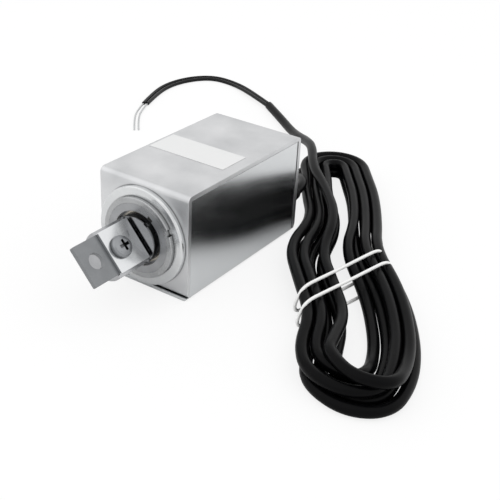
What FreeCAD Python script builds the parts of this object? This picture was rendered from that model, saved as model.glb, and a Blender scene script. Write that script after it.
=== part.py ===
# Box-frame pull electromagnet with its cable
# Millimetres, +Z up. The origin is the middle of the underside, and the plunger slides along Y:
# its open end faces -Y, the cable leaves the back at +Y.
import FreeCAD, Part
import math
import os
import re
import Sketcher
from FreeCAD import Placement, Rotation, Vector

os.makedirs("parts", exist_ok=True)
doc = FreeCAD.newDocument("Electromagnet")

# Driving sizes
SIZES = {
    # case: a bent channel (front, top, back) over a bent wrap (sides, bottom)
    "caseWidth": 48, "caseHeight": 50, "caseLength": 87,
    "plateThickness": 2, "plateBend": 2.6, "lipLength": 15, "lipMargin": 0.5,
    "wrapThickness": 1.5, "wrapBend": 2, "wrapInset": 0.3, "seamGap": 0.3,
    "coverScrewSpacing": 30, "coverScrewInset": 9, "coverScrewRadius": 1.5, "coverScrewLength": 4.5,
    "coverHeadRadius": 2.8, "coverHeadHeight": 1.4, "threadGap": 0.05, "holeGap": 0.2,
    "mountSpacingAcross": 28, "mountBore": 1.65,
    "clinchRadius": 3.6, "clinchHeight": 2.2, "clinchPilot": 2.6,
    # front: collar, disc and ring nut, one outside the other
    "collarRadius": 16, "collarShoulder": 3, "collarFlangeThickness": 2, "collarBore": 12.6,
    "collarCounterbore": 2.8, "notchWidth": 2.6, "notchReach": 1.5, "notchFloor": 1.2, "notchTurn": 32,
    "discMargin": 1.2, "discThickness": 2.4, "discEdge": 0.9,
    "nutRadius": 18.6, "nutThickness": 1.9, "nutChamfer": 0.35,
    "nutSlotWidth": 3, "nutSlotDepth": 1.3, "nutSlotTurn": 25,
    # coil
    "tubeWall": 0.8, "tubeGap": 0.1, "plungerGap": 0.08, "bobbinWall": 1.2, "bobbinFlange": 2,
    "bobbinMargin": 1.2, "bobbinClear": 0.5, "bobbinCorner": 4, "bobbinGap": 0.2, "terminalSpace": 12,
    "footRadius": 2.2, "footInset": 3.6,
    "windingInset": 1, "windingGap": 0.05, "tapeThickness": 0.4,
    "saddleThickness": 1, "spliceRadius": 1.6, "spliceLength": 9, "spliceInset": 3.4, "innerWireDiameter": 1.3,
    # fixed core at the back
    "coreGap": 0.05, "stemRadius": 4, "stemProud": 0.8, "coreNutFlats": 13, "coreNutThickness": 4,
    "washerRadius": 6.6, "washerThickness": 1.8, "washerSlit": 0.8, "residualThickness": 0.5,
    "residualMargin": 0.3,
    # plunger; reaches are counted forward from the front plate's face
    "plungerRadius": 11, "plungerTurn": 48, "stroke": 12, "shoulderReach": 6.7, "tongueReach": 25.2,
    "flatOffset": 1.6, "undercutWidth": 1.2, "undercutDepth": 0.5, "plungerEdge": 0.35,
    "coneDepth": 6, "coneTipRadius": 6.5, "coneGap": 0.35, "coreMouthBack": 1.5, "coreFace": 7, "stopGap": 0.05,
    "ringWidth": 4, "ringInner": 9.6, "ringGrooveGap": 0.1, "ringBack": 8, "ringSlit": 1.2,
    # link and clamp plates with their screw
    "linkThickness": 2, "linkWidth": 18.6, "linkTip": 39.6, "linkHoleReach": 32.6, "linkHoleRadius": 3.5,
    "linkCorner": 0.6, "clampThickness": 1.5, "clampWidth": 19.2, "clampStart": 8.05, "clampEnd": 25.7,
    "clampEdge": 0.3, "screwReach": 19.2, "screwRadius": 2.5, "screwLength": 10,
    "screwHeadRadius": 4.75, "screwHeadHeight": 3.2, "recessWidth": 1.3, "recessSpan": 5, "recessDepth": 1.9,
    # label and cable
    "labelAcross": 41, "labelAlong": 17.5, "labelThickness": 0.15, "labelLeft": 22.7, "labelFront": 12.2,
    "cableDiameter": 5.2, "cableGap": 0.05, "glandInset": 6.6, "glandAboveFoot": 7.6, "glandRadius": 4.2,
    "glandFlangeRadius": 5.4, "glandFlangeThickness": 1.6, "glandSnout": 9, "glandTipRadius": 3.5,
    "glandInside": 1.6, "cableInside": 3, "leadDiameter": 2.3, "wireDiameter": 1.1,
    "hankHeight": 12, "hankEdge": 3, "tieWidth": 1.6, "tieThickness": 1.1, "tieGap": 0.1, "tieSink": 0.6,
    "tieRound": 1, "tieBridgeRise": 12, "tieBridgeShift": 2.4,
}

sheet = doc.addObject("Spreadsheet::Sheet", "Sizes")
for row, (alias, value) in enumerate(SIZES.items(), start=1):
    sheet.set("A%d" % row, alias)
    sheet.set("B%d" % row, str(value))
    sheet.setAlias("B%d" % row, alias)
doc.recompute()


def size(alias):
    return float(getattr(sheet, alias))


def bound(text):
    """An expression on the sheet's cells, written with their bare aliases."""
    return re.sub(r"[A-Za-z]+", lambda word: "Sizes." + word.group() if word.group() in SIZES
                  else word.group(), text)


# Places worked out from the driving sizes, along Y unless the name says otherwise
axisHeight = "(caseHeight / 2)"
frontFace = "(-caseLength / 2)"
backFace = "(caseLength / 2)"
frontInside = f"({frontFace} + plateThickness)"
backInside = f"({backFace} - plateThickness)"
discFront = f"({frontFace} - discThickness)"
nutFront = f"({discFront} - nutThickness)"
collarSeat = f"({nutFront} + collarCounterbore)"
bobbinFront = f"({frontInside} + collarFlangeThickness + bobbinGap)"
bobbinBack = f"({backInside} - terminalSpace)"
tubeInner = "(plungerRadius + plungerGap)"
tubeOuter = f"({tubeInner} + tubeWall)"
sleeveInner = f"({tubeOuter} + tubeGap)"
sleeveOuter = f"({sleeveInner} + bobbinWall)"
shoulder = f"({frontFace} - shoulderReach)"
tongueFront = f"({frontFace} - tongueReach)"
screwPlace = f"({frontFace} - screwReach)"
linkTop = "(flatOffset + linkThickness)"
clampTop = f"({linkTop} + clampThickness)"
# the plunger's tip stops on the residual disc at the bottom of the core's mouth
mouthBottom = "(coreFace - coreMouthBack + coneDepth + residualThickness)"
plungerTip = f"({mouthBottom} - residualThickness - stopGap - stroke)"
coneBase = f"({plungerTip} - coneDepth)"
coneSlope = "((plungerRadius - coneTipRadius) / coneDepth)"
washerBack = f"({backFace} + washerThickness)"
coreNutBack = f"({washerBack} + coreNutThickness)"
# places worked out across the case: what is inside follows the smaller of its width and height
mountAlong = "(caseLength / 2)"
discRadius = "(min(caseWidth; caseHeight) / 2 - discMargin)"
bobbinHalf = ("min(caseWidth / 2 - wrapInset - wrapThickness - bobbinMargin; "
              "caseHeight / 2 - wrapThickness - plateThickness - bobbinClear)")
collarFlangeRadius = f"min(collarRadius + collarShoulder; {bobbinHalf})"
windingRadius = f"({bobbinHalf} - windingInset)"
footPlace = f"({bobbinHalf} - footInset)"
spliceDrop = f"({bobbinHalf} - spliceInset)"
glandSide = "(caseWidth / 2 - glandInset)"
glandDrop = f"({footPlace} - glandAboveFoot)"


def plane(body, role):
    return [feature for feature in body.Origin.OriginFeatures if feature.Role == role][0]


def new_body(name, turned_with_plunger=False, on_axis=True):
    body = doc.addObject("PartDesign::Body", name)
    body.Label = name
    if turned_with_plunger:
        body.Placement = Placement(Vector(0, 0, 0), Rotation(Vector(0, 1, 0), 1))
        body.setExpression("Placement.Rotation.Angle", bound("plungerTurn"))
    if on_axis:
        body.setExpression("Placement.Base.z", bound(axisHeight))
    return body


def sketch_on(body, role, name, loops=(), circles=(), offset=None):
    """A sketch on an origin plane: closed loops of corners and circles, each tied to the sheet."""
    sketch = body.newObject("Sketcher::SketchObject", name)
    sketch.AttachmentSupport = (plane(body, role), [""])
    sketch.MapMode = "FlatFace"
    if offset:
        sketch.setExpression("AttachmentOffset.Base.z", bound(offset))
    expressions = []
    for loop in loops:
        first = sketch.GeometryCount
        count = len(loop)
        guess = [Vector(math.cos(2 * math.pi * i / count), math.sin(2 * math.pi * i / count), 0)
                 for i in range(count)]
        sketch.addGeometry([Part.LineSegment(guess[i], guess[(i + 1) % count]) for i in range(count)])
        for i, (across, up) in enumerate(loop):
            edge = first + i
            sketch.addConstraint(Sketcher.Constraint("Coincident", edge, 2, first + (i + 1) % count, 1))
            for kind, text in (("DistanceX", across), ("DistanceY", up)):
                index = sketch.addConstraint(Sketcher.Constraint(kind, -1, 1, edge, 1, 1.0))
                expressions.append((index, text))
    for across, up, radius in circles:
        circle = sketch.addGeometry(Part.Circle(Vector(1, 1, 0), Vector(0, 0, 1), 1))
        for kind, text in (("DistanceX", across), ("DistanceY", up)):
            index = sketch.addConstraint(Sketcher.Constraint(kind, -1, 1, circle, 3, 1.0))
            expressions.append((index, text))
        index = sketch.addConstraint(Sketcher.Constraint("Radius", circle, 1.0))
        expressions.append((index, radius))
    for index, text in expressions:
        sketch.setExpression("Constraints[%d]" % index, bound(text))
    return sketch


def box_loop(left, bottom, right, top):
    return [(left, bottom), (right, bottom), (right, top), (left, top)]


def extruded(body, kind, sketch, name, length):
    """A pad or pocket of the given length, half of it each side of the sketch."""
    feature = body.newObject("PartDesign::" + kind, name)
    feature.Profile = (sketch, [""])
    feature.SideType = "Symmetric"
    feature.setExpression("Length", bound(length))
    return feature


def pad(body, sketch, name, length):
    return extruded(body, "Pad", sketch, name, length)


def pocket(body, sketch, name, length):
    before = solid_volume(body)
    feature = extruded(body, "Pocket", sketch, name, length)
    if solid_volume(body) > before - 1e-6:
        raise RuntimeError("%s cuts nothing from %s" % (name, body.Label))
    return feature


def solid_volume(body):
    doc.recompute()
    return body.Shape.Volume


def turned(body, loop, name, axis="H_Axis"):
    """A revolved solid; the loop's corners are (place along the axis, radius)."""
    sketch = sketch_on(body, "YZ_Plane", name + "_profile", [loop])
    feature = body.newObject("PartDesign::Revolution", name)
    feature.Profile = (sketch, [""])
    feature.ReferenceAxis = (sketch, [axis])
    feature.Angle = 360
    return feature


def edges_where(shape, test):
    return ["Edge%d" % (i + 1) for i, edge in enumerate(shape.Edges) if test(edge)]


def dressed(body, kind, base, name, test, measure):
    """A fillet or chamfer of the base feature's edges that pass the test."""
    doc.recompute()
    feature = body.newObject("PartDesign::" + kind, name)
    feature.Base = (base, edges_where(base.Shape, test))
    feature.setExpression("Radius" if kind == "Fillet" else "Size", bound(measure))
    return feature


def runs_along(edge, direction):
    if edge.Curve.TypeId != "Part::GeomLine":
        return False
    run = edge.Vertexes[-1].Point - edge.Vertexes[0].Point
    return run.Length > 1e-6 and abs(run.normalize().dot(direction)) > 0.999


def near(value, target):
    return abs(value - target) < 1e-3


ALONG_X, ALONG_Y, ALONG_Z = Vector(1, 0, 0), Vector(0, 1, 0), Vector(0, 0, 1)


# Case
def bent_channel():
    """Front plate, top plate and back plate bent from one strip, with a lip under each end."""
    body = new_body("channel", on_axis=False)
    inner_bottom = "(wrapThickness + plateThickness)"
    lip_front, lip_back = f"({frontFace} + lipLength)", f"({backFace} - lipLength)"
    top_inside = "(caseHeight - plateThickness)"
    strip = sketch_on(body, "YZ_Plane", "strip_profile", [[
        (lip_front, "wrapThickness"), (frontFace, "wrapThickness"), (frontFace, "caseHeight"),
        (backFace, "caseHeight"), (backFace, "wrapThickness"), (lip_back, "wrapThickness"),
        (lip_back, inner_bottom), (backInside, inner_bottom), (backInside, top_inside),
        (frontInside, top_inside), (frontInside, inner_bottom), (lip_front, inner_bottom)]])
    strip_pad = pad(body, strip, "strip", "caseWidth")
    half, low, high = size("caseLength") / 2, size("wrapThickness"), size("caseHeight")
    wall = size("plateThickness")

    def bend(reach, bottom, top):
        def test(edge):
            point = edge.CenterOfMass
            return (runs_along(edge, ALONG_X) and near(abs(point.y), reach)
                    and (near(point.z, bottom) or near(point.z, top)))
        return test

    outside = dressed(body, "Fillet", strip_pad, "outer_bends", bend(half, low, high), "plateBend")
    dressed(body, "Fillet", outside, "inner_bends", bend(half - wall, low + wall, high - wall),
            "plateBend - plateThickness")
    # the lips are narrower than the plates, so that the wrap's sides pass outside them
    lip_edge = "(caseWidth / 2 - wrapInset - wrapThickness - lipMargin)"
    past = "(caseWidth / 2 + 1)"
    lip_start = frontInside
    for side, (inner, outer) in {"right": (lip_edge, past), "left": (f"-{past}", f"-{lip_edge}")}.items():
        trims = [box_loop(inner, start, outer, end) for start, end in
                 ((lip_start, f"{lip_front} + 1"), (f"{lip_back} - 1", f"-{lip_start}"))]
        for place, trim in zip(("front", "back"), trims):
            sketch = sketch_on(body, "XY_Plane", f"{place}_{side}_lip_trim", [trim], offset="wrapThickness")
            pocket(body, sketch, f"{place}_{side}_lip_cut", "2 * plateThickness + 2 * plateBend")
    front_hole = sketch_on(body, "XZ_Plane", "collar_hole_profile",
                           circles=[("0", axisHeight, "collarRadius + holeGap")], offset=f"-{frontFace}")
    pocket(body, front_hole, "collar_hole", "4 * plateThickness")
    back_holes = sketch_on(body, "XZ_Plane", "back_hole_profile", circles=[
        ("0", axisHeight, "stemRadius + holeGap"),
        (glandSide, f"{axisHeight} - {glandDrop}", "glandRadius + cableGap")], offset=f"-{backFace}")
    pocket(body, back_holes, "back_holes", "4 * plateThickness")
    screw_holes = sketch_on(body, "XY_Plane", "lip_screw_profile", circles=cover_screw_circles(
        "coverScrewRadius + threadGap"), offset="wrapThickness")
    pocket(body, screw_holes, "lip_screw_holes", "4 * plateThickness")
    return body


def cover_screw_circles(radius):
    row = "(caseLength / 2 - coverScrewInset)"
    return [(f"{side} * coverScrewSpacing / 2", f"{end} * {row}", radius)
            for side in (-1, 1) for end in (-1, 1)]


def mount_circles(radius):
    return [(f"{side} * mountSpacingAcross / 2", f"{end} * {mountAlong} / 2", radius)
            for side in (-1, 1) for end in (-1, 1)]


def bent_wrap():
    """Both sides and the bottom in one sheet; the top plate overhangs its upper edges."""
    body = new_body("wrap", on_axis=False)
    out, rim = "(caseWidth / 2 - wrapInset)", "(caseHeight - plateThickness - seamGap)"
    inn = f"({out} - wrapThickness)"
    sheet_profile = sketch_on(body, "XZ_Plane", "wrap_profile", [[
        (f"-{out}", "0"), (out, "0"), (out, rim), (inn, rim), (inn, "wrapThickness"),
        (f"-{inn}", "wrapThickness"), (f"-{inn}", rim), (f"-{out}", rim)]])
    wrap_pad = pad(body, sheet_profile, "wrap_sheet", "caseLength")
    outside = size("caseWidth") / 2 - size("wrapInset")

    def bend(reach, height):
        return lambda edge: (runs_along(edge, ALONG_Y) and near(abs(edge.CenterOfMass.x), reach)
                             and near(edge.CenterOfMass.z, height))

    outer = dressed(body, "Fillet", wrap_pad, "outer_bends", bend(outside, 0), "wrapBend")
    dressed(body, "Fillet", outer, "inner_bends",
            bend(outside - size("wrapThickness"), size("wrapThickness")), "wrapBend - wrapThickness")
    # the sides stop short of the front and back plates, the bottom runs full length under them
    side_end = f"({frontInside} + seamGap)"
    above = "(caseHeight + 1)"
    notches = sketch_on(body, "YZ_Plane", "plate_notch_profile", [
        box_loop(f"{frontFace} - 1", "wrapThickness + threadGap", side_end, above),
        box_loop(f"-{side_end}", "wrapThickness + threadGap", f"{backFace} + 1", above)])
    pocket(body, notches, "plate_notches", "caseWidth + 2")
    holes = sketch_on(body, "XY_Plane", "bottom_hole_profile",
                      circles=cover_screw_circles("coverScrewRadius + holeGap")
                      + mount_circles("clinchPilot + threadGap"))
    pocket(body, holes, "bottom_holes", "4 * wrapThickness")
    sinks = body.newObject("PartDesign::Chamfer", "countersinks")
    doc.recompute()
    base = body.getObject("bottom_holes")
    hole = size("coverScrewRadius") + size("holeGap")
    sinks.Base = (base, edges_where(base.Shape, lambda edge: edge.Curve.TypeId == "Part::GeomCircle"
                                    and near(edge.Curve.Radius, hole) and near(edge.CenterOfMass.z, 0)))
    sinks.setExpression("Size", bound("coverHeadRadius - coverScrewRadius"))
    return body


def compound(name, members):
    group = doc.addObject("Part::Compound", name)
    group.Label = name
    group.Links = members
    return group


def cover_screws():
    """Four countersunk screws that hold the wrap's bottom to the channel's lips."""
    members = []
    for number, (across, along, _) in enumerate(cover_screw_circles("0"), start=1):
        shank = doc.addObject("Part::Cylinder", f"cover_shank_{number}")
        shank.setExpression("Radius", bound("coverScrewRadius"))
        shank.setExpression("Height", bound("coverScrewLength"))
        head = doc.addObject("Part::Cone", f"cover_head_{number}")
        head.setExpression("Radius1", bound("coverHeadRadius"))
        head.setExpression("Radius2", bound("coverScrewRadius"))
        head.setExpression("Height", bound("coverHeadRadius - coverScrewRadius"))
        slot = doc.addObject("Part::Box", f"cover_slot_{number}")
        slot.setExpression("Length", bound("2 * coverHeadRadius"))
        slot.setExpression("Width", bound("coverScrewRadius / 2"))
        slot.setExpression("Height", bound("coverHeadHeight / 2"))
        for item, back_x, back_y in ((shank, "0", "0"), (head, "0", "0"),
                                     (slot, "coverHeadRadius", "coverScrewRadius / 4")):
            item.setExpression("Placement.Base.x", bound(f"{across} - {back_x}"))
            item.setExpression("Placement.Base.y", bound(f"{along} - {back_y}"))
        whole = doc.addObject("Part::Fuse", f"cover_blank_{number}")
        whole.Base, whole.Tool = shank, head
        screw = doc.addObject("Part::Cut", f"cover_screw_{number}")
        screw.Base, screw.Tool = whole, slot
        members.append(screw)
    return compound("cover_screws", members)


def mount_nuts():
    """Four clinch nuts pressed into the bottom, flush outside: the object's fixing threads."""
    members = []
    for number, (across, along, _) in enumerate(mount_circles("0"), start=1):
        solids = []
        for part, radius, bottom, top in (
                ("pilot", "clinchPilot", "0", "wrapThickness"),
                ("body", "clinchRadius", "wrapThickness", "wrapThickness + clinchHeight"),
                ("thread", "mountBore", "0 - 1", "wrapThickness + clinchHeight + 1")):
            round_bar = doc.addObject("Part::Cylinder", f"clinch_{part}_{number}")
            round_bar.setExpression("Radius", bound(radius))
            round_bar.setExpression("Height", bound(f"{top} - ({bottom})"))
            round_bar.setExpression("Placement.Base.x", bound(across))
            round_bar.setExpression("Placement.Base.y", bound(along))
            round_bar.setExpression("Placement.Base.z", bound(bottom))
            solids.append(round_bar)
        blank = doc.addObject("Part::Fuse", f"clinch_blank_{number}")
        blank.Base, blank.Tool = solids[0], solids[1]
        nut = doc.addObject("Part::Cut", f"clinch_nut_{number}")
        nut.Base, nut.Tool = blank, solids[2]
        members.append(nut)
    return compound("mount_nuts", members)


# Front: the collar passes through the plate and the disc, and the ring nut draws it up
def pole_collar():
    body = new_body("pole_collar")
    flange_back = f"({frontInside} + collarFlangeThickness)"
    turned(body, [(nutFront, "collarBore"), (nutFront, "collarRadius"), (frontInside, "collarRadius"),
                  (frontInside, collarFlangeRadius), (flange_back, collarFlangeRadius),
                  (flange_back, f"{tubeOuter} + coreGap"), (collarSeat, f"{tubeOuter} + coreGap"),
                  (collarSeat, "collarBore")], "collar_turned")
    # two spanner notches across the rim of the bore
    across = "(collarBore + notchReach)"
    body.setExpression("Placement.Rotation.Angle", bound("notchTurn"))
    body.Placement.Rotation = Rotation(Vector(0, 1, 0), size("notchTurn"))
    sketch = sketch_on(body, "XZ_Plane", "notch_profile", [
        box_loop("-notchWidth / 2", f"-{across}", "notchWidth / 2", across)],
        offset=f"-{nutFront}")
    pocket(body, sketch, "notches", "2 * notchFloor")
    return body


def flange_disc():
    """Turned disc; three short bevels break the front corner of its rim."""
    body = new_body("flange_disc")
    hole = "(collarRadius + threadGap)"
    rim = [(f"{discFront} + discEdge * (1 - sin({angle} deg))", f"{discRadius} - discEdge * (1 - cos({angle} deg))")
           for angle in (90, 60, 30, 0)]
    turned(body, [(discFront, hole), *rim, (frontFace, discRadius), (frontFace, hole)], "disc_turned")
    return body


def ring_nut():
    body = new_body("ring_nut")
    hole = "(collarRadius + threadGap)"
    turned(body, [(nutFront, hole), (nutFront, "nutRadius - nutChamfer"),
                  (f"{nutFront} + nutChamfer", "nutRadius"), (discFront, "nutRadius"), (discFront, hole)],
           "nut_turned")
    body.setExpression("Placement.Rotation.Angle", bound("-nutSlotTurn"))
    body.Placement.Rotation = Rotation(Vector(0, 1, 0), -size("nutSlotTurn"))
    slots = [box_loop(inner, "-nutSlotWidth / 2", outer, "nutSlotWidth / 2") for inner, outer in
             (("nutRadius - nutSlotDepth", "nutRadius + 1"), ("-nutRadius - 1", "-nutRadius + nutSlotDepth"))]
    sketch = sketch_on(body, "XZ_Plane", "slot_profile", slots, offset=f"-{nutFront}")
    pocket(body, sketch, "slots", "4 * nutThickness")
    return body


# Coil
def guide_tube():
    body = new_body("guide_tube")
    turned(body, [(collarSeat, tubeInner), (collarSeat, tubeOuter), (bobbinBack, tubeOuter),
                  (bobbinBack, tubeInner)], "tube_turned")
    return body


def bobbin():
    """Moulded sleeve with square end plates; a saddle behind holds the splices, feet hold off the back."""
    body = new_body("bobbin")
    sleeve = turned(body, [(bobbinFront, sleeveInner), (bobbinFront, sleeveOuter), (bobbinBack, sleeveOuter),
                           (bobbinBack, sleeveInner)], "sleeve")
    half = bobbinHalf
    last = sleeve
    for end, place in (("front", f"({bobbinFront} + bobbinFlange / 2)"),
                       ("back", f"({bobbinBack} - bobbinFlange / 2)")):
        sketch = sketch_on(body, "XZ_Plane", end + "_plate_profile",
                           [box_loop(f"-{half}", f"-{half}", half, half)],
                           [("0", "0", f"({sleeveInner} + {sleeveOuter}) / 2")], offset=f"-{place}")
        last = pad(body, sketch, end + "_plate", "bobbinFlange")
    doc.recompute()
    corner = last.Shape.BoundBox.XMax
    last = dressed(body, "Fillet", last, "plate_corners",
                   lambda edge: runs_along(edge, ALONG_Y) and near(abs(edge.CenterOfMass.x), corner),
                   "bobbinCorner")
    shelf = f"(0 - {spliceDrop} - spliceRadius - threadGap)"
    saddle = sketch_on(body, "YZ_Plane", "saddle_profile", [
        box_loop(f"{bobbinBack} - bobbinFlange / 2", f"{shelf} - saddleThickness",
                 f"{bobbinBack} + 4 * spliceRadius + 2 * threadGap", shelf)])
    pad(body, saddle, "saddle", "spliceLength / 2")
    foot_front, foot_back = f"({bobbinBack} - bobbinFlange / 2)", f"({backInside} - bobbinGap)"
    feet = sketch_on(body, "XZ_Plane", "feet_profile",
                     circles=[(f"{side} * {footPlace}", f"{level} * {footPlace}", "footRadius")
                              for side in (-1, 1) for level in (-1, 1)],
                     offset=f"-({foot_front} + {foot_back}) / 2")
    pad(body, feet, "feet", f"{foot_back} - {foot_front}")
    return body


def coil():
    """The wound copper between the end plates, and the tape that covers it."""
    front, back = f"({bobbinFront} + bobbinFlange + windingGap)", f"({bobbinBack} - bobbinFlange - windingGap)"
    winding = new_body("winding")
    inner = f"({sleeveOuter} + windingGap)"
    turned(winding, [(front, inner), (front, windingRadius), (back, windingRadius), (back, inner)], "wound")
    tape = new_body("coil_tape")
    turned(tape, [(front, windingRadius), (front, f"{windingRadius} + tapeThickness"),
                  (back, f"{windingRadius} + tapeThickness"), (back, windingRadius)], "tape_turned")
    return [winding, tape]


# Fixed core
def fixed_core():
    """Round pole with a coned mouth; its stem passes through the back plate."""
    body = new_body("fixed_core")
    mouth = f"(plungerRadius - {coneSlope} * coreMouthBack + coneGap)"
    floor = f"(plungerRadius - {coneSlope} * ({mouthBottom} - coreFace + coreMouthBack) + coneGap)"
    pole = f"({tubeInner} - coreGap)"
    turned(body, [("coreFace", mouth), ("coreFace", pole), (backInside, pole), (backInside, "stemRadius"),
                  (f"{coreNutBack} + stemProud", "stemRadius"), (f"{coreNutBack} + stemProud", "0"),
                  (mouthBottom, "0"), (mouthBottom, floor)], "core_turned")
    return body


def residual_disc():
    body = new_body("residual_disc")
    turned(body, [(f"{mouthBottom} - residualThickness", "0"), (mouthBottom, "0"),
                  (mouthBottom, "coneTipRadius - residualMargin"),
                  (f"{mouthBottom} - residualThickness", "coneTipRadius - residualMargin")], "disc_stamped")
    return body


def core_fasteners():
    """Split washer and hexagon nut on the core's stem."""
    washer = new_body("core_washer")
    hole = "(stemRadius + threadGap)"
    turned(washer, [(backFace, hole), (backFace, "washerRadius"), (washerBack, "washerRadius"),
                    (washerBack, hole)], "washer_turned")
    slit = sketch_on(washer, "XZ_Plane", "slit_profile", [
        box_loop("-washerSlit / 2", "0", "washerSlit / 2", "washerRadius + 1")],
        offset=f"-({backFace} + washerThickness / 2)")
    pocket(washer, slit, "slit", "2 * washerThickness")
    nut = new_body("core_nut")
    corners = [(f"coreNutFlats / sqrt(3) * cos({60 * i} deg)", f"coreNutFlats / sqrt(3) * sin({60 * i} deg)")
               for i in range(6)]
    hexagon = sketch_on(nut, "XZ_Plane", "hexagon", [corners], [("0", "0", hole)],
                        offset=f"-({washerBack} + coreNutThickness / 2)")
    pad(nut, hexagon, "nut_blank", "coreNutThickness")
    return [washer, nut]


# Plunger
def plunger():
    """Round steel plunger: coned inner end, ring groove, and a flat milled on the outer tongue."""
    body = new_body("plunger", turned_with_plunger=True)
    ring_back = f"({coneBase} - ringBack + ringGrooveGap)"
    ring_front = f"({coneBase} - ringBack - ringWidth - ringGrooveGap)"
    groove = "(ringInner - ringGrooveGap)"
    turned(body, [(tongueFront, "0"), (tongueFront, "plungerRadius - plungerEdge"),
                  (f"{tongueFront} + plungerEdge", "plungerRadius"), (ring_front, "plungerRadius"),
                  (ring_front, groove), (ring_back, groove), (ring_back, "plungerRadius"),
                  (coneBase, "plungerRadius"), (plungerTip, "coneTipRadius"), (plungerTip, "0")],
           "plunger_turned")
    over = "(plungerRadius + 1)"
    flat = sketch_on(body, "YZ_Plane", "flat_profile", [[
        (f"{tongueFront} - 1", "flatOffset"), (f"{shoulder} - undercutWidth", "flatOffset"),
        (f"{shoulder} - undercutWidth", "flatOffset - undercutDepth"),
        (shoulder, "flatOffset - undercutDepth"), (shoulder, over), (f"{tongueFront} - 1", over)]])
    pocket(body, flat, "milled_flat", f"2 * {over}")
    tapped = sketch_on(body, "XY_Plane", "tapped_profile",
                       circles=[("0", screwPlace, "screwRadius + threadGap")], offset="flatOffset")
    pocket(body, tapped, "tapped_hole", "2 * (screwLength - linkThickness - clampThickness + 1)")
    return body


def guide_ring():
    """Split plastic ring in the plunger's groove; it slides with the plunger, which turns inside it."""
    body = new_body("guide_ring")
    back = f"({coneBase} - ringBack)"
    front = f"({back} - ringWidth)"
    outer = "(plungerRadius + plungerGap / 2)"
    turned(body, [(front, "ringInner"), (front, outer), (back, outer), (back, "ringInner")], "ring_turned")
    slit = sketch_on(body, "XZ_Plane", "ring_slit_profile", [
        box_loop("-ringSlit / 2", "0", "ringSlit / 2", "plungerRadius + 1")],
        offset=f"-({back} - ringWidth / 2)")
    pocket(body, slit, "ring_slit", "2 * ringWidth")
    return body


def flat_plate(name, thickness, bottom, width, rear, front, circles, corner):
    """A plate that lies on the plunger's milled flat, with its holes."""
    body = new_body(name, turned_with_plunger=True)
    sketch = sketch_on(body, "XY_Plane", name + "_profile",
                       [box_loop(f"-{width} / 2", front, f"{width} / 2", rear)], circles,
                       offset=f"{bottom} + {thickness} / 2")
    blank = pad(body, sketch, name + "_blank", thickness)
    dressed(body, "Fillet", blank, name + "_corners", lambda edge: runs_along(edge, ALONG_Z), corner)
    return body


def link_plates():
    screw_hole = ("0", screwPlace, "screwRadius + holeGap")
    link = flat_plate("link_plate", "linkThickness", "flatOffset", "linkWidth",
                      f"{frontFace} - clampStart", f"{frontFace} - linkTip",
                      [screw_hole, ("0", f"{frontFace} - linkHoleReach", "linkHoleRadius")], "linkCorner")
    clamp = flat_plate("clamp_plate", "clampThickness", linkTop, "clampWidth",
                       f"{frontFace} - clampStart", f"{frontFace} - clampEnd", [screw_hole], "clampEdge")
    return [link, clamp]


def link_screw():
    """Pan-head screw with a cross recess, down through both plates into the plunger."""
    body = new_body("link_screw", turned_with_plunger=True)
    head_top = f"({clampTop} + screwHeadHeight)"
    rim = "(screwHeadHeight * 0.45)"
    sketch = sketch_on(body, "XZ_Plane", "screw_profile", [[
        ("0", head_top), ("screwHeadRadius * 0.55", head_top),
        ("screwHeadRadius * 0.88", f"{clampTop} + screwHeadHeight * 0.78"),
        ("screwHeadRadius", f"{clampTop} + {rim}"), ("screwHeadRadius", clampTop),
        ("screwRadius", clampTop), ("screwRadius", f"{clampTop} - screwLength"),
        ("0", f"{clampTop} - screwLength")]], offset=f"-{screwPlace}")
    feature = body.newObject("PartDesign::Revolution", "screw_turned")
    feature.Profile = (sketch, [""])
    feature.ReferenceAxis = (sketch, ["V_Axis"])
    feature.Angle = 360
    for name, wide, long in (("recess_across", "recessSpan", "recessWidth"),
                             ("recess_along", "recessWidth", "recessSpan")):
        recess = sketch_on(body, "XY_Plane", name + "_profile", [
            box_loop(f"-{wide} / 2", f"{screwPlace} - {long} / 2", f"{wide} / 2", f"{screwPlace} + {long} / 2")],
            offset=head_top)
        pocket(body, recess, name, "2 * recessDepth")
    return body


def label():
    plate = doc.addObject("Part::Box", "label")
    plate.setExpression("Length", bound("labelAcross"))
    plate.setExpression("Width", bound("labelAlong"))
    plate.setExpression("Height", bound("labelThickness"))
    plate.setExpression("Placement.Base.x", bound("-labelLeft"))
    plate.setExpression("Placement.Base.y", bound("-labelFront"))
    plate.setExpression("Placement.Base.z", bound("caseHeight"))
    return plate


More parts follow.
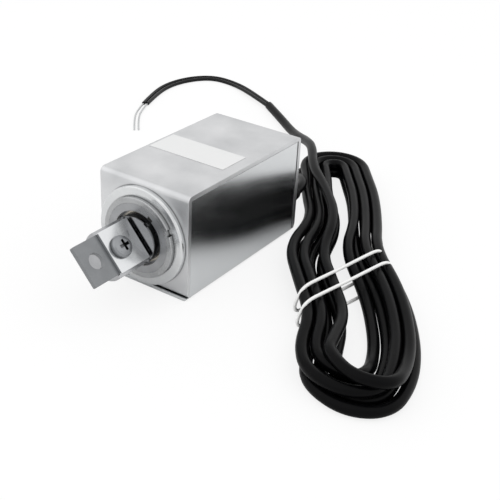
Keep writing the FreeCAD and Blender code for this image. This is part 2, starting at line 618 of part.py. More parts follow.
# Cable gland and the wires inside
def cable_gland():
    """Snap-in bushing in the back plate, with a ribbed tapering snout."""
    body = new_body("cable_gland")
    body.setExpression("Placement.Base.x", bound(glandSide))
    body.setExpression("Placement.Base.z", bound(f"{axisHeight} - {glandDrop}"))
    hole = "(cableDiameter / 2 + cableGap)"
    inside = f"({backInside} - glandInside)"
    flange_back = f"({backFace} + glandFlangeThickness)"
    ribs = 3
    pitch = f"((glandSnout - glandFlangeThickness) / {ribs + 1})"
    outline = [(inside, hole), (inside, "glandRadius + threadGap"), (f"{backInside} - threadGap", "glandRadius + 0.3"),
               (f"{backInside} - threadGap", "glandRadius"), (backFace, "glandRadius"),
               (backFace, "glandFlangeRadius"), (flange_back, "glandFlangeRadius")]
    for rib in range(ribs + 1):
        start = f"({flange_back} + {rib} * {pitch})"
        rib_radius = f"(glandRadius - (glandRadius - glandTipRadius) * {rib} / {ribs})"
        outline += [(start, f"{rib_radius} - 0.6"), (f"{start} + {pitch} * 0.45", f"{rib_radius} - 0.6"),
                    (f"{start} + {pitch} * 0.45", rib_radius)]
        if rib < ribs:
            outline.append((f"{start} + {pitch}", rib_radius))
    outline += [(f"{backFace} + glandSnout", "glandTipRadius"), (f"{backFace} + glandSnout", hole)]
    turned(body, outline, "gland_moulded")
    return body


def splices():
    """Two crimped and sleeved joints between the cable's wires and the winding."""
    members = []
    for number, side in enumerate((-1, 1), start=1):
        sleeve = doc.addObject("Part::Cylinder", f"splice_{number}")
        sleeve.Placement = Placement(Vector(0, 0, 0), Rotation(Vector(0, 1, 0), 90))
        sleeve.setExpression("Radius", bound("spliceRadius"))
        sleeve.setExpression("Height", bound("spliceLength"))
        sleeve.setExpression("Placement.Base.x", bound("-spliceLength / 2"))
        sleeve.setExpression("Placement.Base.y", bound(
            f"{bobbinBack} + threadGap + spliceRadius + {(number - 1)} * (2 * spliceRadius + threadGap)"))
        sleeve.setExpression("Placement.Base.z", bound(f"{axisHeight} - {spliceDrop}"))
        members.append(sleeve)
    return compound("splice_sleeves", members)


# Cord routes: straight runs joined by tangent arcs
def rounded(points, closed=False):
    """The edges of a path through the points, each corner rounded as far as its runs allow."""
    count = len(points)
    corners = range(count) if closed else range(1, count - 1)
    arcs = {}
    for i in corners:
        before, here, after = points[i - 1], points[i], points[(i + 1) % count]
        back, ahead = before - here, after - here
        half_turn = (math.pi - back.getAngle(ahead)) / 2
        trim = 0.45 * min(back.Length, ahead.Length)
        start = here + back.normalize() * trim
        end = here + ahead.normalize() * trim
        radius = trim / math.tan(half_turn)
        bisector = (back + ahead).normalize()
        middle = here + bisector * (radius / math.cos(half_turn) - radius)
        arcs[i] = (start, middle, end, radius)
    edges = []
    total = count if closed else count - 1
    for i in range(total):
        j = (i + 1) % count
        start = arcs[i][2] if i in arcs else points[i]
        end = arcs[j][0] if j in arcs else points[j]
        edges.append(Part.LineSegment(start, end).toShape())
        if j in arcs:
            edges.append(Part.Arc(arcs[j][0], arcs[j][1], arcs[j][2]).toShape())
    return edges, [arcs[i][3] for i in sorted(arcs)]


def feature_from(name, shape):
    piece = doc.addObject("Part::Feature", name)
    piece.Label = name
    piece.Shape = shape
    return piece


def cord(name, points, diameter):
    """A round tube along a rounded route, with its volume compared to section times length."""
    edges, radii = rounded([Vector(*point) for point in points])
    path = Part.Wire(edges)
    start = edges[0].Vertexes[0].Point
    direction = edges[0].tangentAt(edges[0].FirstParameter)
    circle = Part.Wire([Part.makeCircle(diameter / 2, start, direction)])
    tube = path.makePipeShell([circle], True, True)
    expected = math.pi * (diameter / 2) ** 2 * path.Length
    print("%s: length %.1f mm, smallest radius %.1f mm, volume ratio %.4f" % (
        name, path.Length, min(radii), tube.Volume / expected))
    if abs(tube.Volume / expected - 1) > 0.01:
        raise RuntimeError(name + " has the wrong volume")
    return feature_from(name, tube)


# Route points, chosen by hand: the run leaves the gland and dips into the hank, the free end
# comes out of the hank's far corner and lies on the floor
CABLE_STRAIGHT = 26
CABLE_RUN_END = (6.5, 87, 7.5)
CABLE_TAIL = [(3, 112.5, 11.5), (-5, 121, 12), (-14, 131, 7.5), (-25, 141, 2.9), (-41, 152.6, 2.7),
              (-59.5, 165.2, 2.7), (-78.4, 176.1, 2.7)]
# middle line between the two leads, and how much of each is bare at its end
LEAD_LINE = [(-78.4, 176.1, 2.7), (-100.4, 188.05, 2.7), (-121, 198.8, 1.25), (-139.5, 200, 1.2),
             (-150, 188.5, 1.2), (-154.5, 170, 1.2), (-151.5, 150, 1.2), (-143, 128.5, 1.2)]
BARE_LINE = [(-143, 128.5, 1.2), (-138.2, 116.4, 0.9), (-130.5, 104.5, 0.6), (-119.2, 91.5, 0.6)]

HANK_OUTLINE = [(-10, 121), (-6, 128.5), (3, 128), (9.5, 121), (17, 122.5), (27, 117), (36, 102), (57.5, 71),
                (73, 46.5), (88, 33), (104, 16), (116, -2), (125, -25), (129.5, -41), (135, -52), (134, -66),
                (124, -74), (104, -73.5), (88, -64), (79, -49), (73, -32), (64, -19), (50, -7), (41, 6),
                (35.5, 24), (31, 43.5), (23.5, 57.5), (10, 80), (-4, 103)]
HANK_OPENING = [(56, 29), (73, 2), (85.5, -18.5), (96, -33.5), (104, -41.5), (107.5, -32), (94, -16.5),
                (74.5, 7.5)]
# where the two turns of the tie cross the hank, from edge to edge
TIE_TURNS = [((67.2, -23.6), (79.8, 38)), ((74, -32.4), (87.3, 31.5))]


def beside(line, distance):
    """The points of a nearly flat line moved sideways by a distance."""
    moved = []
    for i, point in enumerate(line):
        before, after = line[max(i - 1, 0)], line[min(i + 1, len(line) - 1)]
        along = Vector(after[0] - before[0], after[1] - before[1], 0).normalize()
        moved.append((point[0] - along.y * distance, point[1] + along.x * distance, point[2]))
    return moved


def level_face(points):
    return Part.Face(Part.Wire(rounded([Vector(x, y, 0) for x, y in points], closed=True)[0]))


def across(start, end, width, bottom, top, grow=0.0):
    """A block across the hank from one edge point to another, longer by grow at each end."""
    along = Vector(end[0] - start[0], end[1] - start[1], 0)
    block = Part.makeBox(along.Length + 2 * grow, width, top - bottom, Vector(-grow, -width / 2, bottom))
    block.rotate(Vector(0, 0, 0), ALONG_Z, math.degrees(math.atan2(along.y, along.x)))
    block.translate(Vector(start[0], start[1], 0))
    return block


def hank_and_tie():
    """The coiled cable as one closed outer shape, waisted where two turns of the tie go round it."""
    height, wall, gap = size("hankHeight"), size("tieThickness"), size("tieGap")
    top = height - size("tieSink")
    rise = Vector(0, 0, height)
    hank = level_face(HANK_OUTLINE).extrude(rise)
    rim = [edge for edge in hank.Edges if near(edge.BoundBox.ZMin, height) and near(edge.BoundBox.ZMax, height)]
    hank = hank.makeFillet(size("hankEdge"), rim).cut(level_face(HANK_OPENING).extrude(rise))
    bands = []
    for start, end in TIE_TURNS:
        width = size("tieWidth")
        blank = across(start, end, width, 0, top + wall, wall)
        corners = [edge for edge in blank.Edges if near(edge.Length, width)]
        inner = across(start, end, width + 1, wall, top)
        bands.append(blank.makeFillet(size("tieRound"), corners).cut(inner))
        room = across(start, end, width + 2 * gap, -1, height + 1, height)
        hank = hank.cut(room.cut(across(start, end, width + 1, wall + gap, top - gap, -gap)))
    # the tie passes from one turn to the next under the hank
    (first, _), (second, _) = TIE_TURNS
    inward = Vector(size("tieBridgeShift"), size("tieBridgeRise"), 0)
    bridge_start = Vector(first[0], first[1], 0) + inward
    bridge_end = Vector(second[0], second[1], 0) + inward
    bridge = across(bridge_start, bridge_end, size("tieWidth"), 0, wall)
    hank = hank.cut(across(bridge_start, bridge_end, size("tieWidth") + 2 * gap, -1, wall + gap))
    tie = bands[0].fuse([bridge, bands[1]]).removeSplitter()
    return [feature_from("cable_hank", hank), feature_from("tie_band", tie)]


def jacket_end():
    """Where the cable's jacket stops inside the case, in line with the gland."""
    doc.recompute()
    gland = doc.getObject("cable_gland").Placement.Base
    inner_end = size("caseLength") / 2 - size("plateThickness") - size("cableInside")
    return Vector(gland.x, inner_end, gland.z)


def lay_cable():
    """The cable from the gland to its hank, the hank, and the free end with its two leads."""
    diameter, lead, wire = size("cableDiameter"), size("leadDiameter"), size("wireDiameter")
    start = jacket_end()
    run = [start, start + Vector(0, CABLE_STRAIGHT, 0), CABLE_RUN_END]
    pieces = [cord("cable_run", run, diameter), cord("cable_tail", CABLE_TAIL, diameter)]
    pieces += hank_and_tie()
    for name, side in (("a", -1), ("b", 1)):
        apart = side * (lead / 2 + size("cableGap"))
        pieces.append(cord("lead_" + name, beside(LEAD_LINE, apart), lead))
        pieces.append(cord("bare_end_" + name, beside(BARE_LINE, apart), wire))
    return pieces


def inner_leads():
    """The cable's two wires behind the winding, straight out of the jacket and into the splices."""
    start = jacket_end()
    gap = size("innerWireDiameter") * 0.8
    wires = []
    for number, (rise, straight) in enumerate(((-gap, 3.2), (gap, 1.8)), start=1):
        sleeve = doc.getObject("splice_%d" % number).Shape.BoundBox
        leave = start + Vector(0, 0, rise)
        turn = leave - Vector(0, straight, 0)
        enter = Vector(sleeve.XMax, sleeve.Center.y, sleeve.Center.z)
        level = enter + Vector(straight + 1, 0, 0)
        drop = level - turn
        route = [leave, turn, turn + Vector(drop.x * 0.2, drop.y * 0.6, drop.z * 0.25),
                 turn + Vector(drop.x * 0.6, drop.y * 0.95, drop.z * 0.75), level, enter]
        wires.append(cord(f"inner_wire_{number}", route, size("innerWireDiameter")))
    return compound("inner_leads", wires)


pieces = [bent_channel(), bent_wrap(), cover_screws(), mount_nuts(), pole_collar(), flange_disc(), ring_nut(),
          guide_tube(), bobbin(), *coil(), fixed_core(), residual_disc(), *core_fasteners(), plunger(),
          guide_ring(), *link_plates(), link_screw(), label(), cable_gland(), splices(),
          inner_leads(), *lay_cable()]
doc.recompute()

for item in doc.Objects:
    if "Invalid" in item.State or "Error" in item.State:
        raise RuntimeError("%s failed: %s" % (item.Label, item.State))
triangles = 0
for piece in pieces:
    shape = piece.Shape
    if shape.isNull() or not shape.isValid():
        raise RuntimeError(piece.Label + " has no valid shape")
    triangles += len(shape.tessellate(0.1)[1])
    shape.exportStep(os.path.join("parts", piece.Label + ".step"))
print("%d pieces, %d triangles" % (len(pieces), triangles))
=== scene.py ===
import math

import bpy
from mathutils import Matrix, Vector


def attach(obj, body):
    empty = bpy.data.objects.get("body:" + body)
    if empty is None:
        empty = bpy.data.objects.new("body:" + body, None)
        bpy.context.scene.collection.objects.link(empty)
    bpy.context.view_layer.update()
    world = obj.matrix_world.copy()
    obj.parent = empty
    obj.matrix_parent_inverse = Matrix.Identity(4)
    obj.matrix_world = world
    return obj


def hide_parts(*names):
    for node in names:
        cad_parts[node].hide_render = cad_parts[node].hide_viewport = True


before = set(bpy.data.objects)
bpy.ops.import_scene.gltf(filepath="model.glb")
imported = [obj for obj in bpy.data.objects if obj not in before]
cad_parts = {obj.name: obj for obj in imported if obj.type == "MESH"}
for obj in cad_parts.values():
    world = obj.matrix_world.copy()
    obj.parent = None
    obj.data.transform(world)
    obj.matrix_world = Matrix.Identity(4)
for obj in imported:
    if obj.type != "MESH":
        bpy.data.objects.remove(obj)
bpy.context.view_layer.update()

print("frame loaded")


def linear(hexColour):
    values = [int(hexColour[i:i + 2], 16) / 255 for i in (1, 3, 5)]
    return [v / 12.92 if v <= 0.04045 else ((v + 0.055) / 1.055) ** 2.4 for v in values] + [1]


def addNode(tree, kind, links=(), **settings):
    node = tree.nodes.new(kind)
    for name, value in settings.items():
        if hasattr(node, name):
            setattr(node, name, value)
        else:
            node.inputs[name.replace("_", " ")].default_value = value
    for socket, source in links:
        tree.links.new(source, node.inputs[socket])
    return node


# camera, matched to the photograph's view; place in metres, turns in degrees
cameraSettings = {"place": (0.23042, -0.31610, 0.21741), "lens": 67.47, "sensor": 36,
                  "yaw": 32.8, "pitch": 29.1, "roll": 3.21}


def makeCamera():
    s = cameraSettings
    cameraData = bpy.data.cameras.new("camera")
    cameraData.lens = s["lens"]
    cameraData.sensor_width = s["sensor"]
    camera = bpy.data.objects.new("camera", cameraData)
    bpy.context.collection.objects.link(camera)
    camera.matrix_world = (Matrix.Translation(s["place"]) @ Matrix.Rotation(math.radians(s["yaw"]), 4, "Z")
                           @ Matrix.Rotation(math.radians(90 - s["pitch"]), 4, "X")
                           @ Matrix.Rotation(math.radians(s["roll"]), 4, "Z"))
    bpy.context.scene.camera = camera


makeCamera()

# heights of the hank's two layers of strands
bottom, second = 2.7, 8.1
# cable: round, black, 5.2 mm; every route point in millimetres
cable = {
    "diameter": 5.2, "exit": (17.4, 52.5, 15.2), "inside": 38.5,
    "run": [(17.4, 52.5, 15.2), (16.6, 61.5, 15.4), (10, 71.5, 14), (1.5, 81.5, 8), (-5.2, 92.5, 3)],
    # where the outermost strand lies, the step from each lane to the next one inward, and how much the band
    # below lifts the lowest strands there
    "lowLanes": [((82.5, -52.5), (4.9, 3.0)), ((75, -31.5), (4.6, 2.85), 1.5), ((57, -11.5), (4.5, 3.0), 1.5),
                 ((35.5, 14), (6.1, 1.1))],
    "leftLanes": [((30.5, 45.5), (5.5, 0.3)), ((15.5, 68), (4.7, 2.9)), ((3.8, 87.9), (4.4, 3.3))],
    "rightLanes": [((30, 107.9), (-4.4, -3.3)), ((45.2, 87.7), (-4.4, -3.3)), ((60.3, 61.6), (-4.6, -3.1)),
                   ((74.5, 37.5), (-4.5, -3.2), 1.5), ((99.5, 12.5), (-4.6, -3.1), 1.5),
                   ((118, -14), (-5.2, -2.1)), ((128, -37.5), (-6, 0.4))],
    "nearLanes": [((131.5, -60), (-5.7, 3.6)), ((116.5, -72.5), (-1.9, 6.7)), ((94.5, -68.5), (2.1, 6.5))],
    # strands above this height rest on the lifted ones, and rise by a share of the lift
    "layerEdge": 5, "liftShare": 2 / 3,
    # at the far end the lanes turn about one centre
    "foldCentre": (10.6, 106.4), "foldRadius": 16.5, "foldStep": 5.5, "foldHeading": 126.9, "foldSmall": 8,
    # lane and height of each turn in the wide part, between the two parts, and at the far fold
    "turns": [((0, bottom), (0, bottom), (0, bottom)), ((1, bottom), (1, bottom), (1, bottom)),
              ((2, bottom), (2, bottom), (2, bottom)), ((3, bottom), (3, 7), (2, second)),
              ((1.5, second), (1.4, second), (1, second)), ((0.5, second), (0.4, second), (0, second))],
    # at the near end a turn moves on to the next lane; the fourth climbs over the others
    "shifts": [[(0.25, bottom), (0.5, bottom), (0.75, bottom)], [(1.25, bottom), (1.5, bottom), (1.75, bottom)],
               [(2.25, bottom), (2.5, bottom), (2.75, bottom)], [(3.1, 7.2), (2.5, second), (2.0, second)],
               [(1.25, second), (1.0, second), (0.75, second)], [(0.5, 13.4), (1.5, 13.6), (2.2, 13.6)]],
    # the free end goes back above the left strands
    "overLow": [(2.7, 12.4), (3.1, 8.7), (3.2, 8.5), (3.1, 9.2)],
    "overLeft": [(2.7, 13.4), (1.6, 13.6), (0.5, 13.7)],
    "tail": [(-8, 112.5, 13.7), (-19, 124.5, 10.5), (-30, 135, 6.5), (-43, 147, 3.4), (-59, 161, 2.7),
             (-78.4, 176.1, 2.7)],
}


def foldTurn(lane, height):
    # half a circle; the points lie a little outside it because the curve passes inside them, and a small turn
    # stays rounder with fewer of them
    (x, y), radius = cable["foldCentre"], cable["foldRadius"] - lane * cable["foldStep"]
    count = 4 if radius > cable["foldSmall"] else 2
    half = 90 / count
    reach = radius / math.cos(math.radians(half))
    headings = [math.radians(cable["foldHeading"] + 90 - half * (2 * i + 1)) for i in range(count)]
    return [(x + reach * math.cos(heading), y + reach * math.sin(heading), height) for heading in headings]


def hankPoint(station, lane, height):
    (x, y), (stepX, stepY) = station[:2]
    lift = station[2] if len(station) > 2 else 0
    if height >= cable["layerEdge"]:
        lift *= cable["liftShare"]
    return (x + lane * stepX, y + lane * stepY, height + lift)


def hankStretch(stations, lanes):
    return [hankPoint(station, lane, height) for station, (lane, height) in zip(stations, lanes)]


def hankTurns():
    low, left, right = cable["lowLanes"], cable["leftLanes"], cable["rightLanes"]
    points = []
    for number, (wide, between, far) in enumerate(cable["turns"]):
        if number:
            points += hankStretch(low + left, [wide] * 4 + [between] + [far] * 2)
        points += foldTurn(*far)
        points += hankStretch(right, [far] * 3 + [between] + [wide] * 3)
        points += hankStretch(cable["nearLanes"], cable["shifts"][number])
    return points + hankStretch(low + left, cable["overLow"] + cable["overLeft"])


curveSettings = {"resolution": 12, "bevelResolution": 5}


def nurbsLine(name, points, radius=0.0, closed=False):
    curve = bpy.data.curves.new(name, "CURVE")
    curve.dimensions = "3D"
    curve.resolution_u = curve.render_resolution_u = curveSettings["resolution"]
    curve.bevel_depth = radius / 1000
    curve.bevel_resolution = curveSettings["bevelResolution"]
    curve.use_fill_caps = True
    spline = curve.splines.new("NURBS")
    spline.points.add(len(points) - 1)
    for target, point in zip(spline.points, points):
        target.co = [v / 1000 for v in point] + [1]
    spline.order_u = 3
    spline.use_endpoint_u = not closed
    spline.use_cyclic_u = closed
    line = bpy.data.objects.new(name, curve)
    bpy.context.collection.objects.link(line)
    return line


def routeLength(points):
    # a bare line is drawn along the route, measured and taken away again
    probe = nurbsLine("probe", points)
    mesh = bpy.data.meshes.new_from_object(probe)
    places = [v.co.copy() for v in mesh.vertices]
    bpy.data.meshes.remove(mesh)
    bpy.data.objects.remove(probe)
    return sum((b - a).length for a, b in zip(places, places[1:]))


plungerHeight = 25
# what every finish shares: noise detail, the part of the noise that the roughness follows, how open a
# place must be to stay free of painted shade, and the darkest that painted shade gets
surface = {"patchDetail": 4.0, "grainDetail": 3.0, "noiseFrom": 0.6, "noiseTo": 1.4,
           "paintedShadeFrom": 0.35, "paintedShadeTo": 0.8, "paintedShadeDarkest": 0.12}


def makeFinish(name, s):
    # sizes in millimetres; roughness has a spread, and a second tone lies in soft patches
    material = bpy.data.materials.new(name)
    material.use_nodes = True
    tree = material.node_tree
    shader = tree.nodes["Principled BSDF"]
    shader.inputs["Metallic"].default_value = s["metal"]
    shader.inputs["Specular IOR Level"].default_value = s.get("shine", 0.5)
    place = addNode(tree, "ShaderNodeTexCoord").outputs["Object"]
    if s.get("round"):
        # rings about the plunger's line, as a lathe tool leaves them
        parts = addNode(tree, "ShaderNodeSeparateXYZ", [(0, place)])
        height = addNode(tree, "ShaderNodeMath", [(0, parts.outputs[2])], operation="SUBTRACT")
        height.inputs[1].default_value = plungerHeight / 1000
        flat = addNode(tree, "ShaderNodeCombineXYZ", [(0, parts.outputs[0]), (1, height.outputs[0])])
        reach = addNode(tree, "ShaderNodeVectorMath", [(0, flat.outputs[0])], operation="LENGTH")
        grainPlace = addNode(tree, "ShaderNodeCombineXYZ", [(0, reach.outputs["Value"])]).outputs[0]
    else:
        grainPlace = addNode(tree, "ShaderNodeMapping", [(0, place)], Scale=s["stretch"]).outputs[0]
    patches = addNode(tree, "ShaderNodeTexNoise", [("Vector", place)],
                      Scale=1000 / s["patch"], Detail=surface["patchDetail"])
    grain = addNode(tree, "ShaderNodeTexNoise", [("Vector", grainPlace)],
                    Scale=1000 / s["grain"], Detail=surface["grainDetail"])
    tone = addNode(tree, "ShaderNodeMix", [("Factor", patches.outputs["Fac"])], data_type="RGBA")
    tone.inputs[6].default_value = linear(s["colour"])
    tone.inputs[7].default_value = linear(s["second"])
    base = tone.outputs[2]
    if s.get("paintedShadeReach"):
        # painted shade: ambient occlusion darkens the colour in a thin line where pieces meet and in recesses
        shade = addNode(tree, "ShaderNodeAmbientOcclusion", Distance=s["paintedShadeReach"] / 1000)
        depth = addNode(tree, "ShaderNodeMapRange", [("Value", shade.outputs["AO"])],
                        From_Min=surface["paintedShadeFrom"], From_Max=surface["paintedShadeTo"], To_Min=surface["paintedShadeDarkest"])
        paintedShadeMix = addNode(tree, "ShaderNodeMix", data_type="RGBA", blend_type="MULTIPLY")
        paintedShadeMix.inputs["Factor"].default_value = 1
        tree.links.new(base, paintedShadeMix.inputs[6])
        tree.links.new(depth.outputs[0], paintedShadeMix.inputs[7])
        base = paintedShadeMix.outputs[2]
    tree.links.new(base, shader.inputs["Base Color"])
    both = addNode(tree, "ShaderNodeMath", [(0, patches.outputs["Fac"]), (1, grain.outputs["Fac"])],
                   operation="ADD")
    rough = addNode(tree, "ShaderNodeMapRange", [("Value", both.outputs[0])],
                    From_Min=surface["noiseFrom"], From_Max=surface["noiseTo"],
                    To_Min=s["rough"] - s["roughSpread"] / 2, To_Max=s["rough"] + s["roughSpread"] / 2)
    tree.links.new(rough.outputs[0], shader.inputs["Roughness"])
    bump = addNode(tree, "ShaderNodeBump", [("Height", grain.outputs["Fac"])], Distance=s["bump"] / 1000)
    if s["edge"]:
        # sheared and turned edges are a little broken, and catch the light
        broken = addNode(tree, "ShaderNodeBevel", Radius=s["edge"] / 1000)
        tree.links.new(broken.outputs[0], bump.inputs["Normal"])
    tree.links.new(bump.outputs[0], shader.inputs["Normal"])
    return material


def dress(piece, material):
    piece.data.materials.clear()
    piece.data.materials.append(material)


# finishes of the parts that come from the frame; some carry a reach in millimetres for painted shade in corners
# and recesses
finishes = {
    # zinc-plated sheet, rolled along its length: grey clouds, faint lines
    "zincSheet": (["channel"], {
        "colour": "#a7a9ab", "second": "#ebebec", "metal": 1, "rough": 0.34, "roughSpread": 0.1, "patch": 24,
        "grain": 0.3, "stretch": (1, 0.05, 1), "bump": 0.004, "edge": 0.3, "paintedShadeReach": 0.8}),
    # the wrap's sheet is brighter and mirrors the cable beside it
    "brightSheet": (["wrap"], {
        "colour": "#c9cbcd", "second": "#d6d8d9", "metal": 1, "rough": 0.19, "roughSpread": 0.08, "patch": 18,
        "grain": 0.4, "stretch": (1, 0.05, 1), "bump": 0.002, "edge": 0.3}),
    # turned and zinc-plated: dark grey, with rings round the hole
    "turnedSteel": (["pole_collar", "core_washer", "core_nut", "fixed_core"], {
        "colour": "#8c8d8f", "second": "#a7a8aa", "metal": 1, "rough": 0.3, "roughSpread": 0.16, "patch": 5,
        "grain": 0.35, "round": True, "bump": 0.012, "edge": 0.15, "paintedShadeReach": 1.2}),
    # finely turned and plated: pale, with sharper lights on its rings
    "brightTurned": (["flange_disc"], {
        "colour": "#c3c5c7", "second": "#dcdddd", "metal": 1, "rough": 0.2, "roughSpread": 0.12, "patch": 7,
        "grain": 0.3, "round": True, "bump": 0.008, "edge": 0.15, "paintedShadeReach": 1.2}),
    # turned and handled: between the two others
    "dullTurned": (["ring_nut"], {
        "colour": "#979899", "second": "#b6b7b8", "metal": 1, "rough": 0.27, "roughSpread": 0.14, "patch": 5,
        "grain": 0.3, "round": True, "bump": 0.01, "edge": 0.15, "paintedShadeReach": 1.2}),
    # ground and polished, with faint scratches along the stroke
    "groundSteel": (["plunger"], {
        "colour": "#9c9d9f", "second": "#b3b4b6", "metal": 1, "rough": 0.16, "roughSpread": 0.1, "patch": 6,
        "grain": 0.25, "stretch": (1, 0.08, 1), "bump": 0.004, "edge": 0.1}),
    # rolled strip with a dull mid-grey skin
    "rolledStrip": (["link_plate"], {
        "colour": "#77797b", "second": "#8b8d8f", "metal": 1, "rough": 0.36, "roughSpread": 0.12, "patch": 5,
        "grain": 0.25, "stretch": (0.1, 1, 1), "bump": 0.006, "edge": 0.25}),
    # plated screw, grey; its cross recess is darkened by painted shade
    "screwPlate": (["link_screw"], {
        "colour": "#85878a", "second": "#9b9da0", "metal": 1, "rough": 0.32, "roughSpread": 0.12, "patch": 3,
        "grain": 0.3, "stretch": (1, 1, 1), "bump": 0.01, "edge": 0.15, "paintedShadeReach": 2.5}),
    # bright-plated strip and small hardware: the lightest metal beside the dull link
    "brightStrip": (["clamp_plate", "cover_screws", "mount_nuts"], {
        "colour": "#c8cacc", "second": "#dadbdc", "metal": 1, "rough": 0.17, "roughSpread": 0.1, "patch": 4,
        "grain": 0.25, "stretch": (0.15, 1, 1), "bump": 0.004, "edge": 0.2, "paintedShadeReach": 1.0}),
    # smooth white paper under a clear film, left bare
    "labelFilm": (["label"], {
        "colour": "#d8d9d9", "second": "#dedede", "metal": 0, "rough": 0.38, "roughSpread": 0.08, "patch": 8,
        "grain": 0.2, "stretch": (1, 1, 1), "bump": 0.003, "edge": 0.1}),
    # black moulding, slightly matt
    "mouldedRubber": (["cable_gland", "residual_disc"], {
        "colour": "#09090a", "second": "#121213", "metal": 0, "rough": 0.5, "roughSpread": 0.16, "shine": 0.2,
        "patch": 3, "grain": 0.3, "stretch": (1, 1, 1), "bump": 0.02, "edge": 0.2}),
    # nickel-plated brass: grey with a little warmth
    "platedBrass": (["guide_tube"], {
        "colour": "#8d8982", "second": "#a39e95", "metal": 1, "rough": 0.25, "roughSpread": 0.1, "patch": 6,
        "grain": 0.25, "round": True, "bump": 0.006, "edge": 0.1}),
    # natural nylon, milky
    "nylon": (["bobbin", "guide_ring"], {
        "colour": "#d9d5c8", "second": "#e3e0d4", "metal": 0, "rough": 0.48, "roughSpread": 0.12, "patch": 6,
        "grain": 0.4, "stretch": (1, 1, 1), "bump": 0.01, "edge": 0.3}),
    # enamelled copper: the turns show as fine rings across its length
    "enamelledCopper": (["winding"], {
        "colour": "#8a4a24", "second": "#a8602f", "metal": 1, "rough": 0.3, "roughSpread": 0.1, "patch": 5,
        "grain": 0.5, "stretch": (0.02, 1, 0.02), "bump": 0.1, "edge": 0}),
    # yellow insulating tape with a soft gloss
    "coilTape": (["coil_tape"], {
        "colour": "#c9a23a", "second": "#d4b04b", "metal": 0, "rough": 0.33, "roughSpread": 0.1, "patch": 9,
        "grain": 0.6, "stretch": (1, 0.3, 1), "bump": 0.02, "edge": 0}),
    # shrunk sleeving, black with a dull sheen
    "shrinkSleeve": (["splice_sleeves", "inner_leads"], {
        "colour": "#1a1a1b", "second": "#262627", "metal": 0, "rough": 0.45, "roughSpread": 0.1, "patch": 3,
        "grain": 0.4, "stretch": (1, 1, 1), "bump": 0.02, "edge": 0}),
}


def dressFrame():
    for name, (nodes, settings) in finishes.items():
        material = makeFinish(name, settings)
        for node in nodes:
            dress(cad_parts[node], material)


dressFrame()
print("frame dressed")

# black rubber jacket: its sheen gives each strand a thin light line
cableRubber = {"colour": "#020203", "second": "#060607", "metal": 0, "rough": 0.32, "roughSpread": 0.12,
               "shine": 0.07, "patch": 9, "grain": 0.5, "stretch": (1, 1, 1), "bump": 0.012, "edge": 0}


def makeCable():
    rubber = makeFinish("cableRubber", cableRubber)
    points = cable["run"] + hankTurns() + cable["tail"]
    length = routeLength(points)
    print("cable length %.3f m" % length)
    jacket = nurbsLine("cableJacket", points, cable["diameter"] / 2)
    dress(jacket, rubber)
    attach(jacket, "case")
    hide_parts("cable_run", "cable_hank", "cable_tail")
    # the same cable inside the gland, as far as the case's wiring space
    (x, y, z), start = cable["exit"], cable["inside"]
    inside = nurbsLine("jacketInGland", [(x, start, z), (x, (y + start) / 2, z), (x, y, z)],
                       cable["diameter"] / 2)
    dress(inside, rubber)
    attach(inside, "case")


makeCable()
print("cable laid")

# the two leads out of the jacket's end, and their stripped ends
leads = {
    "diameter": 2.3, "bareDiameter": 1.1,
    "line": [(-78.4, 176.1, 2.7), (-100.4, 188.05, 2.7), (-121, 198.8, 1.25), (-139.5, 200, 1.2),
             (-150, 188.5, 1.2), (-154.5, 170, 1.2), (-151.5, 150, 1.2), (-143, 128.5, 1.2)],
    "bare": [(-143, 128.5, 1.2), (-138.2, 116.4, 0.9), (-130.5, 104.5, 0.6), (-119.2, 91.5, 0.6)],
    # each lead's distance from the middle line: together at the jacket, a little apart along the floor
    "apart": [1.2, 1.4, 1.8, 2.1, 2.1, 1.9, 1.6, 1.3], "bareApart": [1.3] * 4,
    # black insulation, a little glossier than the jacket
    "finish": {"colour": "#060607", "second": "#0d0d0e", "metal": 0, "rough": 0.36, "roughSpread": 0.12,
               "shine": 0.2, "patch": 6, "grain": 0.4, "stretch": (1, 1, 1), "bump": 0.01, "edge": 0},
    # tinned copper strands: bright, uneven grey
    "tinned": {"colour": "#b9bbbc", "second": "#cfd0d1", "metal": 1, "rough": 0.3, "roughSpread": 0.14,
               "patch": 3, "grain": 0.35, "stretch": (1, 1, 1), "bump": 0.04, "edge": 0},
}


def beside(line, side, distances):
    moved = []
    for i, (point, distance) in enumerate(zip(line, distances)):
        before, after = Vector(line[max(i - 1, 0)]), Vector(line[min(i + 1, len(line) - 1)])
        along = Vector((after.x - before.x, after.y - before.y, 0)).normalized()
        moved.append((point[0] - along.y * side * distance, point[1] + along.x * side * distance, point[2]))
    return moved


def makeWire(name, node, points, diameter, material):
    wire = nurbsLine(name, points, diameter / 2)
    dress(wire, material)
    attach(wire, "case")
    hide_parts(node)
    routeLength(points)


def makeLeads():
    insulation = makeFinish("leadInsulation", leads["finish"])
    tinned = makeFinish("tinnedCopper", leads["tinned"])
    for letter, side in (("A", -1), ("B", 1)):
        makeWire("lead" + letter, "lead_" + letter.lower(), beside(leads["line"], side, leads["apart"]),
                 leads["diameter"], insulation)
        makeWire("bareEnd" + letter, "bare_end_" + letter.lower(), beside(leads["bare"], side, leads["bareApart"]),
                 leads["bareDiameter"], tinned)


makeLeads()
print("leads laid")

# white plastic band: two turns round the hank, which pass below it too
tie = {
    "turns": [((66, -22.8), (77.5, 34.8)), ((73, -32), (85.5, 27.5))], "diameter": 1.5,
    # distance in from each edge of the hank, and the height there: round its side, then over the strands
    "sides": [(-1.2, 4.2), (0.4, 8.6), (4.2, 12.9), (16, 12.9)], "middle": 12.7,
    # height under the strands, and how far in from each edge
    "below": 0.8, "belowInset": 2,
    # white plastic sheath with a soft gloss
    "finish": {"colour": "#e9e9e8", "second": "#f3f3f2", "metal": 0, "rough": 0.34, "roughSpread": 0.1,
               "patch": 4, "grain": 0.3, "stretch": (1, 1, 1), "bump": 0.01, "edge": 0},
}


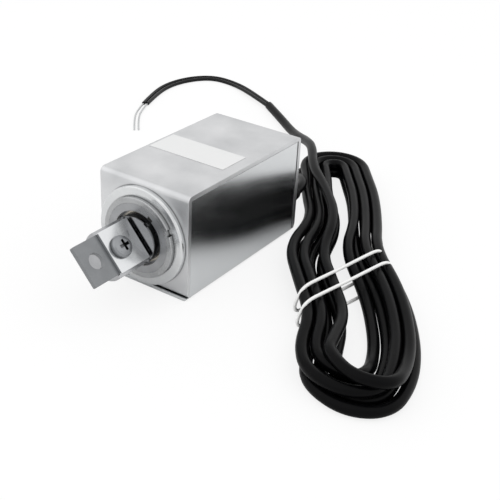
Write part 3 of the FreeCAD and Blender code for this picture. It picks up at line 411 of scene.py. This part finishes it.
def makeTie():
    plastic = makeFinish("tieSheath", tie["finish"])
    for number, (start, end) in enumerate(tie["turns"], start=1):
        start, end = Vector(start), Vector(end)
        along, middle = (end - start).normalized(), (start + end) / 2
        inset = along * tie["belowInset"]
        rise = [(start + along * reach, height) for reach, height in tie["sides"]]
        fall = [(end - along * reach, height) for reach, height in reversed(tie["sides"])]
        below = [(place, tie["below"]) for place in (end - inset, middle, start + inset)]
        route = rise + [(middle, tie["middle"])] + fall + below
        band = nurbsLine("tieTurn%d" % number, [(place.x, place.y, height) for place, height in route],
                         tie["diameter"] / 2, closed=True)
        dress(band, plastic)
        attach(band, "case")
        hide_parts("tie_band")


makeTie()
print("tie made")

# floor and light, in metres and watts; the lamps are wide, so that no plate mirrors them as a white patch
studio = {"floorColour": "#f4f4f4", "floorSize": 8, "floorRough": 0.9, "floorGlow": 0.8, "worldStrength": 1,
          "aim": (0.02, 0, 0.02),
          "lamps": {"key": {"place": (-0.5, -0.6, 0.9), "size": 1.6, "power": 2.5},
                    "fill": {"place": (0.7, 0.2, 0.8), "size": 1.4, "power": 1.5}}}


def makeFloor():
    bpy.ops.mesh.primitive_plane_add(size=studio["floorSize"], location=(0, 0, 0))
    floor = bpy.context.object
    floor.name = "floor"
    # matt white paper; the camera sees most of it as plain white, with the object's shadow left on it
    material = bpy.data.materials.new("paperSweep")
    material.use_nodes = True
    tree = material.node_tree
    paper = tree.nodes["Principled BSDF"]
    paper.inputs["Base Color"].default_value = linear(studio["floorColour"])
    paper.inputs["Roughness"].default_value = studio["floorRough"]
    glow = addNode(tree, "ShaderNodeEmission", Strength=1.0, Color=(1, 1, 1, 1))
    path = addNode(tree, "ShaderNodeLightPath")
    share = addNode(tree, "ShaderNodeMath", [(0, path.outputs["Is Camera Ray"])], operation="MULTIPLY")
    share.inputs[1].default_value = studio["floorGlow"]
    mix = addNode(tree, "ShaderNodeMixShader", [("Fac", share.outputs[0]), (1, paper.outputs[0]),
                                                (2, glow.outputs[0])])
    tree.links.new(mix.outputs[0], tree.nodes["Material Output"].inputs["Surface"])
    floor.data.materials.append(material)


def makeWorld():
    world = bpy.data.worlds.new("studio")
    bpy.context.scene.world = world
    world.use_nodes = True
    tree = world.node_tree
    light = tree.nodes["Background"]
    light.inputs["Color"].default_value = (1, 1, 1, 1)
    light.inputs["Strength"].default_value = studio["worldStrength"]
    # the camera sees white, whatever the light's strength
    white = addNode(tree, "ShaderNodeBackground", Strength=1.0, Color=(1, 1, 1, 1))
    path = addNode(tree, "ShaderNodeLightPath")
    mix = addNode(tree, "ShaderNodeMixShader", [("Fac", path.outputs["Is Camera Ray"]), (1, light.outputs[0]),
                                                (2, white.outputs[0])])
    tree.links.new(mix.outputs[0], tree.nodes["World Output"].inputs["Surface"])


def makeLamps():
    for name, settings in studio["lamps"].items():
        lamp = bpy.data.lights.new(name, "AREA")
        lamp.size = settings["size"]
        lamp.energy = settings["power"]
        holder = bpy.data.objects.new(name, lamp)
        bpy.context.collection.objects.link(holder)
        turn = (Vector(studio["aim"]) - Vector(settings["place"])).to_track_quat("-Z", "Y")
        holder.matrix_world = Matrix.Translation(settings["place"]) @ turn.to_matrix().to_4x4()


makeFloor()
makeWorld()
makeLamps()
bpy.context.scene.view_settings.view_transform = "Standard"
print("studio lit")
